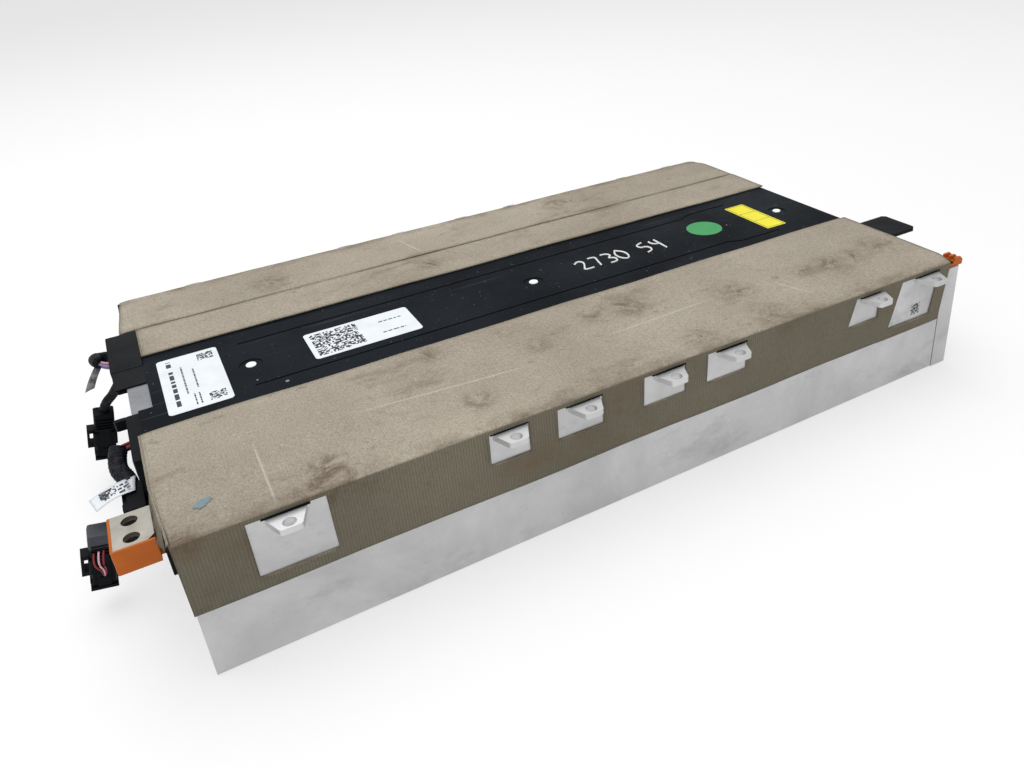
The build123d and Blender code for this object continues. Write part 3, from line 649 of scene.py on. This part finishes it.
def at(x, y, z, turn=0.0):
    """A place from x and y in millimetres and z in metres, turned about Z by degrees."""
    return Matrix.Translation((x * MM, y * MM, z)) @ Matrix.Rotation(math.radians(turn), 4, "Z")


def bars(name, boxes, place):
    """Several small printed rectangles as one piece."""
    bm = bmesh.new()
    for x0, y0, x1, y1 in boxes:
        corners = ((x0, y0), (x1, y0), (x1, y1), (x0, y1))
        raise_face(bm, [(x * MM, y * MM) for x, y in corners], INK)
    bmesh.ops.transform(bm, matrix=place, verts=bm.verts)
    return piece_from(name, bm_to_mesh(name, bm), PRINT, smooth=False)


def speckle_square(size, cells, seed, cx=0.0, cy=0.0):
    """A square field of random small marks, which encodes nothing."""
    rng = random.Random(seed)
    step = size / cells
    boxes = []
    for i in range(cells):
        for j in range(cells):
            if rng.random() < 0.52:
                x = cx - size / 2 + i * step
                y = cy - size / 2 + j * step
                boxes.append((x, y, x + step * 1.02, y + step * 1.02))
    return boxes


def text_rows(x0, x1, y, rows, pitch, height, seed):
    """Rows of short dashes where small print stands."""
    rng = random.Random(seed)
    boxes = []
    for row in range(rows):
        x = x0
        low = y - row * pitch
        while x < x1:
            length = rng.uniform(1.0, 3.2) * height
            boxes.append((x, low, min(x + length, x1), low + height))
            x += length + height * 0.7
    return boxes


# Each label's centre on the cover, in millimetres.
END_LABEL = (-289.0, 3.5)
CODE_LABEL = (-155.4, 0.2)
ROUND_STICKER = (204.9, 7.5)
YELLOW_STICKER = (266.5, 2.6)
WALL_CODE = (286.5, 71.5)


def make_end_label():
    film("end_label", rounded(91 * MM, 46 * MM, 3 * MM), FILM, at(*END_LABEL, COVER_TOP, 90), LABEL_WHITE)
    marks = speckle_square(12, 12, 4, 35, -13) + speckle_square(12, 12, 5, -34, -13)
    marks += text_rows(-36, 22, 13, 1, 5, 3.2, 6) + text_rows(-20, 26, 6, 1, 3.6, 1.3, 7)
    marks += text_rows(-14, 18, -2, 1, 4, 1.2, 8) + text_rows(-40, -22, 2, 2, 3.4, 1.1, 15)
    marks += text_rows(30, 40, 13, 1, 4, 3.6, 16)
    bars("end_label_print", marks, at(*END_LABEL, COVER_TOP + FILM, 90))


def make_code_label():
    film("code_label", rounded(90 * MM, 47 * MM, 3 * MM), FILM, at(*CODE_LABEL, COVER_TOP), LABEL_WHITE)
    marks = speckle_square(39, 27, 9, -21.5, 0) + text_rows(16, 36, 8, 1, 4, 1.6, 10)
    marks += text_rows(14, 34, -12, 1, 4, 1.6, 11)
    bars("code_label_print", marks, at(*CODE_LABEL, COVER_TOP + FILM))


def make_stickers():
    film("round_sticker", circle(18, 48), FILM, at(*ROUND_STICKER, COVER_TOP), LABEL_GREEN)
    film("yellow_sticker", rounded(69 * MM, 24 * MM, 1.5 * MM), FILM, at(*YELLOW_STICKER, COVER_TOP, 90),
         LABEL_YELLOW)
    edge = [(-33, -10.5, 33, -9.9), (-33, 9.9, 33, 10.5), (-33, -10.5, -32.4, 10.5), (32.4, -10.5, 33, 10.5),
            (11, -10.5, 11.6, 10.5), (-11.6, -10.5, -11, 10.5)]
    bars("yellow_sticker_print", edge, at(*YELLOW_STICKER, COVER_TOP + FILM, 90))


def make_labels():
    """Every label with its print, and the small code field on the wall in the last window."""
    make_end_label()
    make_code_label()
    make_stickers()
    x, z = WALL_CODE
    wall = Matrix.Translation((x * MM, WALL_Y, z * MM)) @ Matrix.Rotation(math.radians(90), 4, "X")
    bars("wall_code_print", speckle_square(10.5, 11, 14), wall)


def stroke(name, points, width, material, z):
    """A hand-drawn line of marker on a flat face."""
    curve = bpy.data.curves.new(name, "CURVE")
    curve.dimensions = "3D"
    curve.bevel_depth = width / 2 * MM
    curve.bevel_resolution = 1
    spline = curve.splines.new("NURBS")
    spline.points.add(len(points) - 1)
    for point, (x, y) in zip(spline.points, points):
        point.co = (x * MM, y * MM, z, 1)
    spline.order_u = 3
    spline.use_endpoint_u = True
    obj = bpy.data.objects.new(name, curve)
    bpy.context.scene.collection.objects.link(obj)
    curve.materials.append(material)
    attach(obj, "root")
    return obj


def make_marker():
    z = COVER_TOP + 0.02 * MM
    strokes = (
        ((53, 9), (58, 15), (64, 10), (60, 1), (55, -7), (66, -6)),
        ((70, 14), (79, 15), (76, 4), (74, -7)),
        ((84, 14), (91, 14), (93, 7), (87, 4), (94, 1), (92, -8), (84, -7)),
        ((102, 15), (97, 9), (97, -3), (103, -9), (108, -1), (107, 10), (101, 15)),
        ((133, 15), (125, 14), (125, 5), (133, 5), (134, -6), (125, -8)),
        ((140, 13), (139, 3), (148, 4)), ((147, 14), (147, 2), (147, -10)),
    )
    for number, points in enumerate(strokes):
        stroke(f"marker_stroke_{number + 1}", points, 1.9, MARKER, z)


# ---- harness ----

TUBE_SIDES = 16


def tube(name, points, radius, material, rings=0.0, pitch=3.0, samples=60):
    """A round tube along a smooth route, in millimetres, with optional corrugation."""
    curve = bpy.data.curves.new(name + "_route", "CURVE")
    curve.dimensions = "3D"
    spline = curve.splines.new("NURBS")
    spline.points.add(len(points) - 1)
    for point, place in zip(spline.points, points):
        point.co = (place[0] * MM, place[1] * MM, place[2] * MM, 1)
    spline.order_u = 3
    spline.use_endpoint_u = True
    spline.resolution_u = 16
    helper = bpy.data.objects.new(name + "_route", curve)
    bpy.context.scene.collection.objects.link(helper)
    line = [v.co.copy() for v in bpy.data.meshes.new_from_object(helper).vertices]
    bpy.data.objects.remove(helper)
    travelled = [0.0]
    for a, b in zip(line, line[1:]):
        travelled.append(travelled[-1] + (b - a).length)
    bm = bmesh.new()
    loops = []
    side = Vector((0, 0, 1))
    for i in range(samples + 1):
        want = travelled[-1] * i / samples
        k = max(j for j in range(len(line) - 1) if travelled[j] <= want or j == 0)
        span = travelled[k + 1] - travelled[k]
        centre = line[k].lerp(line[k + 1], (want - travelled[k]) / span if span else 0)
        ahead = (line[k + 1] - line[k]).normalized()
        u = ahead.cross(side)
        u = u.normalized() if u.length > 0.05 else ahead.cross(Vector((1, 0, 0))).normalized()
        v = ahead.cross(u)
        swell = 1 + rings * (0.5 + 0.5 * math.sin(math.tau * want / (pitch * MM)))
        r = radius * MM * swell
        loops.append([bm.verts.new(centre + r * (math.cos(a) * u + math.sin(a) * v)) for a in
                      (math.tau * j / TUBE_SIDES for j in range(TUBE_SIDES))])
    for a, b in zip(loops, loops[1:]):
        for j in range(TUBE_SIDES):
            after = (j + 1) % TUBE_SIDES
            bm.faces.new((a[j], a[after], b[after], b[j]))
    bm.faces.new(loops[0])
    bm.faces.new(loops[-1])
    return piece_from(name, bm_to_mesh(name, bm), material)


TUBE_ROUTE = ((-340, -30, 86), (-350, -30, 86), (-355, -42, 79), (-348, -56, 74), (-348, -66, 74))
LOOP_ROUTE = (
    (-345, 106, 93), (-354, 106, 93), (-359, 117, 92), (-352, 129, 85), (-341, 131, 84), (-331, 131, 84),
)
UPPER_LEAD = ((-342, 63, 91), (-346, 64, 86), (-350, 66, 80), (-357, 68, 74), (-360.5, 68, 66))
UPPER_PLUG_TOP = (-360.0, 68.0, 68.0)
LOWER_PLUG_TOP = (-372.0, -84.0, 60.0)
PLUG_LEAN = 12.0
WIRE_OFFSETS = ((0, 2.4), (2.2, 0.4), (-2.2, 0.6), (1.0, -2.2), (-1.2, -2.0))


def plug_place(top):
    """The frame of an inline connector, with its top at the origin."""
    x, y, z = top
    return Matrix.Translation((x * MM, y * MM, z * MM)) @ Matrix.Rotation(math.radians(PLUG_LEAN), 4, "Y")


def bevelled(name, boxes, place, bevel, material):
    """Several small moulded blocks as one piece, with rounded edges."""
    bm = bmesh.new()
    for low, high in boxes:
        made = bmesh.ops.create_cube(bm, size=1.0)["verts"]
        for vert in made:
            vert.co = Vector([(a + b) / 2 + c * (b - a) for a, b, c in zip(low, high, vert.co)]) * MM
    bmesh.ops.bevel(bm, geom=bm.edges[:], offset=bevel * MM, segments=2, affect="EDGES", profile=0.6)
    bmesh.ops.transform(bm, matrix=place, verts=bm.verts)
    return piece_from(name, bm_to_mesh(name, bm), material, smooth=False)


def plug_details(name, top):
    """Grip ribs, a locking slide and a cavity lip on an inline connector."""
    boxes = [((-6.4, -8.6, -6.5 - 2.4 * k), (6.4, 8.6, -5.3 - 2.4 * k)) for k in range(4)]
    boxes.append(((-4.0, -9.6, -37.0), (4.0, -7.2, -12.0)))
    boxes.append(((-8.6, -6.0, -36.5), (-7.0, 6.0, -33.5)))
    boxes.append(((-2.6, -10.4, -33.0), (2.6, -9.0, -29.5)))
    boxes.append(((-8.4, -8.4, -41.0), (8.4, 8.4, -38.6)))
    bevelled(name, boxes, plug_place(top), 0.35, BLACK_PLASTIC)


def make_harness():
    """Leads, wires, connector details and flags."""
    sleeve = tube("harness_tube_sleeve", TUBE_ROUTE[1:], 6.0, TAPE, 0.05, 2.6, 90)
    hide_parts("harness_tube")
    loop = tube("harness_loop_tape", LOOP_ROUTE[1:], 5.2, TAPE, 0.06, 5.0, 70)
    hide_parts("harness_loop")
    upper = tube("upper_lead_sleeve", UPPER_LEAD, 3.6, TAPE, 0.05, 3.0, 50)
    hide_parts("upper_lead")
    for number, (dy, dz) in enumerate(WIRE_OFFSETS):
        material = (WIRE_RED, WIRE_PINK, WIRE_RED, WIRE_PINK, BLACK_PLASTIC)[number]
        route = ((-338, -30 + dy, 86 + dz), (-345, -30 + dy, 86 + dz), (-352, -32 + dy, 85 + dz))
        tube(f"tube_wire_{number + 1}", route, 1.0, material, samples=12)
        lilac = (WIRE_PINK, WIRE_PINK, WIRE_LILAC, WIRE_PINK, WIRE_LILAC)[number]
        route = ((-344, 104 + dy, 88 + dz), (-350, 104 + dy, 88 + dz), (-355, 109 + dy, 91 + dz))
        tube(f"loop_wire_{number + 1}", route, 1.0, lilac, samples=12)
    plug_details("upper_connector_ribs", UPPER_PLUG_TOP)
    plug_details("lower_connector_ribs", LOWER_PLUG_TOP)
    x, y, z = LOWER_PLUG_TOP
    bevelled("lower_connector_boot", [((-8.2, -8.0, -9.0), (8.2, 8.0, 2.5))], plug_place(LOWER_PLUG_TOP), 2.2,
             DARK_GREY)
    for number, step in enumerate((-3.0, 0.0, 3.0)):
        route = ((x - 4 + step, y - 8.6, z - 9), (x - 7 + step, y - 11.2, z - 17),
                 (x - 4 + step * 0.3, y - 10, z - 25), (x - 7, y - 8.4, z - 33))
        material = (WIRE_RED, WIRE_PINK, WIRE_RED)[number]
        tube(f"plug_wire_{number + 1}", route, 0.65, material, samples=24)
    flag("tube_flag", ((-343, -61, 79.6), (-344.5, -79, 79.6)), ((-374.4, -66, 74.4), (-370, -83, 75.2)),
         LABEL_WHITE, 12)
    flag("loop_flag", ((-352, 118, 86), (-360, 118, 84)), ((-364, 108, 70), (-372, 108, 68)), LABEL_GREY, 13)


FLAG_STEPS = 12
FLAG_ROWS = 6


def flag(name, near, far, material, seed):
    """A film flag folded round a lead, standing out from it and curling a little."""
    near = [Vector(point) * MM for point in near]
    far = [Vector(point) * MM for point in far]
    along = (far[0] + far[1] - near[0] - near[1]) / 2
    across = (near[0] + far[0] - near[1] - far[1]) / 2
    face = along.cross(across).normalized()
    if face.z < 0:
        face = -face
    bm = bmesh.new()
    rows = []
    for i in range(FLAG_STEPS + 1):
        share = i / FLAG_STEPS
        curl = face * (2.2 * MM * math.sin(share * math.pi))
        row = []
        for k in range(FLAG_ROWS + 1):
            edge = near[0].lerp(far[0], share).lerp(near[1].lerp(far[1], share), k / FLAG_ROWS)
            row.append(bm.verts.new(edge + curl + face * 0.5 * MM * math.sin(k / FLAG_ROWS * math.pi)))
        rows.append(row)
    quads(bm, rows)
    obj = piece_from(name, bm_to_mesh(name, bm), material)
    thicken(obj, "film", 0.3 * MM)
    wide = along.length / MM
    tall = across.length / MM
    turn = Matrix((along.normalized(), face.cross(along).normalized(), face)).transposed()
    middle = (near[0] + near[1] + far[0] + far[1]) / 4
    place = Matrix.Translation(middle + face * 2.6 * MM) @ turn.to_4x4()
    marks = speckle_square(tall * 0.62, 10, seed, wide * 0.1, 0)
    marks += text_rows(-wide * 0.38, -wide * 0.12, tall * 0.28, 3, tall * 0.24, tall * 0.09, seed + 1)
    bars(name + "_print", marks, place)


# ---- left end, painted shadows in the lug slots, and cover ----

SHROUD_LENGTH = 21 * MM
GUARD_BOTTOM = 84.0
FRONT_GUARD = 30
REAR_GUARD = 60
# Half width of each black painted-shadow box over a lug, in millimetres.
SLOT_SHADOW_HALF = 15.0


def make_shroud():
    """The thin sloping shroud from the connector box towards the notch."""
    low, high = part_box("connector_box")
    bm = bmesh.new()
    box_front = low[1] + 0.4 * MM
    tip = low[1] - SHROUD_LENGTH
    base = BRACKET_TOP + 0.1 * MM
    profile = ((box_front, high[2] - 0.2 * MM), (box_front, base), (tip, base), (tip, BRACKET_TOP + 1.2 * MM))
    sides = [[bm.verts.new((x, y, z)) for y, z in profile] for x in (low[0] + 0.6 * MM, NOTCH_RIGHT)]
    bm.faces.new(sides[0])
    bm.faces.new(sides[1])
    for k in range(4):
        bm.faces.new((sides[0][k], sides[0][(k + 1) % 4], sides[1][(k + 1) % 4], sides[1][k]))
    piece_from("box_front_shroud", bm_to_mesh("box_front_shroud", bm), BLACK_PLASTIC, False)


def make_notch_strip():
    """The black strip along the cover's edge at the notch."""
    right = NOTCH_RIGHT / MM
    top = COVER_TOP / MM
    edge = [((right - 4.0, -20.0, top - 1.7), (right + 0.2, 66.0, top - 0.05))]
    bevelled("notch_edge_strip", edge, Matrix.Identity(4), 0.15, BLACK_COVER)


def make_guards():
    """Edge guards in place of the CAD ones: a short one near the top in front, a full one behind."""
    guard_low, guard_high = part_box("corner_guards")
    low = [value / MM for value in guard_low]
    high = [value / MM for value in guard_high]
    boxes = [((low[0], low[1], GUARD_BOTTOM), (high[0], low[1] + FRONT_GUARD, high[2])),
             ((low[0], high[1] - REAR_GUARD, low[2]), (high[0], high[1], high[2]))]
    guards = bevelled("corner_guard_strips", boxes, Matrix.Identity(4), 0.8, BLACK_PLASTIC)
    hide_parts("corner_guards")


def make_slot_shadows():
    """Black boxes over the lugs' roots, standing out a little from the wall: painted shadow for the dark gaps
    there.
    """
    shadow_boxes = [((x - SLOT_SHADOW_HALF, -1.0, 102.1), (x + SLOT_SHADOW_HALF, 0.35, 103.9)) for x in LUG_X]
    bevelled("lug_slot_painted_shadows", shadow_boxes, Matrix.Translation((0, WALL_Y, 0)), 0.2, BLACK_PLASTIC)


def make_cover_dots():
    """Small pale dots on the cover: x, y and radius in millimetres."""
    for number, (x, y, r) in enumerate(((-227.7, -42.5, 1.5), (-247.0, -27.2, 0.8), (228.0, 0.5, 0.8))):
        film(f"cover_dot_{number + 1}", circle(r, 16), 0.3 * MM, at(x, y, COVER_TOP - 0.05 * MM), LABEL_GREY)


FOLD_START = -128
FOLD_LENGTH = 60
FOLD_DROP = 13.5
FOLD_STEPS = 22
FOLD_ROWS = 5
TAPER_FROM = 15


def make_end_fold():
    """The end of the front cloth, folded down between its cut edge and the terminal."""
    bm = bmesh.new()
    rows = []
    for i in range(FOLD_STEPS + 1):
        y = (FOLD_START - FOLD_LENGTH * i / FOLD_STEPS) * MM
        top_x = cut_in(SHIELD_X[0], y, TOP_Z) + 0.5 * MM
        low_x = -335.6 * MM + 4.6 * MM * max(0.0, (i - 13) / 9)
        row = []
        for k in range(FOLD_ROWS + 1):
            share = k / FOLD_ROWS
            wrinkle = 0.5 * MM * math.sin(i * 0.9 + k) * share
            x = top_x + (low_x - top_x) * share + wrinkle - 0.8 * MM * math.sin(math.pi * share)
            taper = max(0.0, (i - TAPER_FROM) / (FOLD_STEPS - TAPER_FROM))
            drop = FOLD_DROP + 0.8 * math.sin(i * 1.7) - 10.0 * taper
            z = TOP_Z - 0.9 * MM - drop * MM * share
            row.append(bm.verts.new((x, y, z)))
        rows.append(row)
    quads(bm, rows)
    obj = piece_from("front_shield_end_fold", bm_to_mesh("front_shield_end_fold", bm), FABRIC)
    thicken(obj, "cloth", 0.8 * MM)


def make_scuff():
    """The small blue-grey frayed mark near the front left corner of the cloth."""
    rng = random.Random(21)
    outline = []
    for k in range(28):
        a = math.tau * k / 28
        reach = 1 + rng.uniform(-0.22, 0.22)
        outline.append((6.2 * math.cos(a) * reach * MM, 3.4 * math.sin(a) * reach * MM))
    film("cloth_scuff", outline, FILM, at(-306, -161, TOP_Z - 0.1 * MM, 28), SCUFF)


# ---- stage ----

CAMERA_PLACE = (-0.2938, -0.6319, 0.4346)
CAMERA_TURN = (63.133, 3.510, -29.465)
LENS = 29.745
SHIFT = (-0.0536, -0.0789)


def camera():
    """The camera as solved from the photo's edges: place in metres, turn in degrees."""
    data = bpy.data.cameras.new("camera")
    data.lens = LENS
    data.sensor_width = 36
    data.shift_x, data.shift_y = SHIFT
    obj = bpy.data.objects.new("camera", data)
    obj.location = CAMERA_PLACE
    obj.rotation_euler = Euler([math.radians(a) for a in CAMERA_TURN])
    bpy.context.scene.collection.objects.link(obj)
    bpy.context.scene.camera = obj


def floor():
    """A large white floor that looks brighter to the camera than it lights the part."""
    bm = bmesh.new()
    bmesh.ops.create_grid(bm, x_segments=1, y_segments=1, size=6)
    mesh = bpy.data.meshes.new("floor")
    bm.to_mesh(mesh)
    bm.free()
    obj = bpy.data.objects.new("floor", mesh)
    bpy.context.scene.collection.objects.link(obj)
    m = Mat("floor", (0.9, 0.9, 0.9, 1), 0.9)
    glow = m.tree.nodes.new("ShaderNodeEmission")
    glow.inputs["Strength"].default_value = 1.0
    glow.inputs["Color"].default_value = (1, 1, 1, 1)
    path = m.tree.nodes.new("ShaderNodeLightPath")
    blend = m.tree.nodes.new("ShaderNodeMixShader")
    camera_or_glossy = m.maths("MAXIMUM", path.outputs["Is Camera Ray"], path.outputs["Is Glossy Ray"])
    seen = m.maths("MULTIPLY", camera_or_glossy, 0.55)
    m.link(seen, blend.inputs[0])
    m.link(m.shader.outputs[0], blend.inputs[1])
    m.link(glow.outputs[0], blend.inputs[2])
    m.link(blend.outputs[0], m.tree.nodes["Material Output"].inputs["Surface"])
    mesh.materials.append(m.mat)


def lamp(name, place, target, size, power):
    data = bpy.data.lights.new(name, "AREA")
    data.shape = "RECTANGLE"
    data.size, data.size_y = size
    data.energy = power
    obj = bpy.data.objects.new(name, data)
    obj.location = place
    obj.rotation_euler = (Vector(target) - Vector(place)).to_track_quat("-Z", "Y").to_euler()
    bpy.context.scene.collection.objects.link(obj)


def lights():
    lamp("top_light", (-0.3, 0.5, 2.2), (0, 0, 0), (2.4, 2.4), 42)
    lamp("front_light", (-0.9, -2.0, 1.2), (0, 0, 0.05), (1.8, 1.2), 9)
    world = bpy.data.worlds.new("world")
    world.use_nodes = True
    bpy.context.scene.world = world
    back = world.node_tree.nodes["Background"]
    back.inputs["Color"].default_value = (1, 1, 1, 1)
    back.inputs["Strength"].default_value = 0.55
    path = world.node_tree.nodes.new("ShaderNodeLightPath")
    white = world.node_tree.nodes.new("ShaderNodeBackground")
    white.inputs["Strength"].default_value = 1.0
    blend = world.node_tree.nodes.new("ShaderNodeMixShader")
    links = world.node_tree.links
    links.new(path.outputs["Is Camera Ray"], blend.inputs[0])
    links.new(back.outputs[0], blend.inputs[1])
    links.new(white.outputs[0], blend.inputs[2])
    links.new(blend.outputs[0], world.node_tree.nodes["World Output"].inputs["Surface"])


bpy.context.scene.view_settings.view_transform = "Standard"
dress_nodes()
make_shields()
make_labels()
make_marker()
make_harness()
make_shroud()
make_notch_strip()
make_end_fold()
make_guards()
make_slot_shadows()
make_cover_dots()
make_scuff()
camera()
floor()
lights()

bpy.context.view_layer.update()
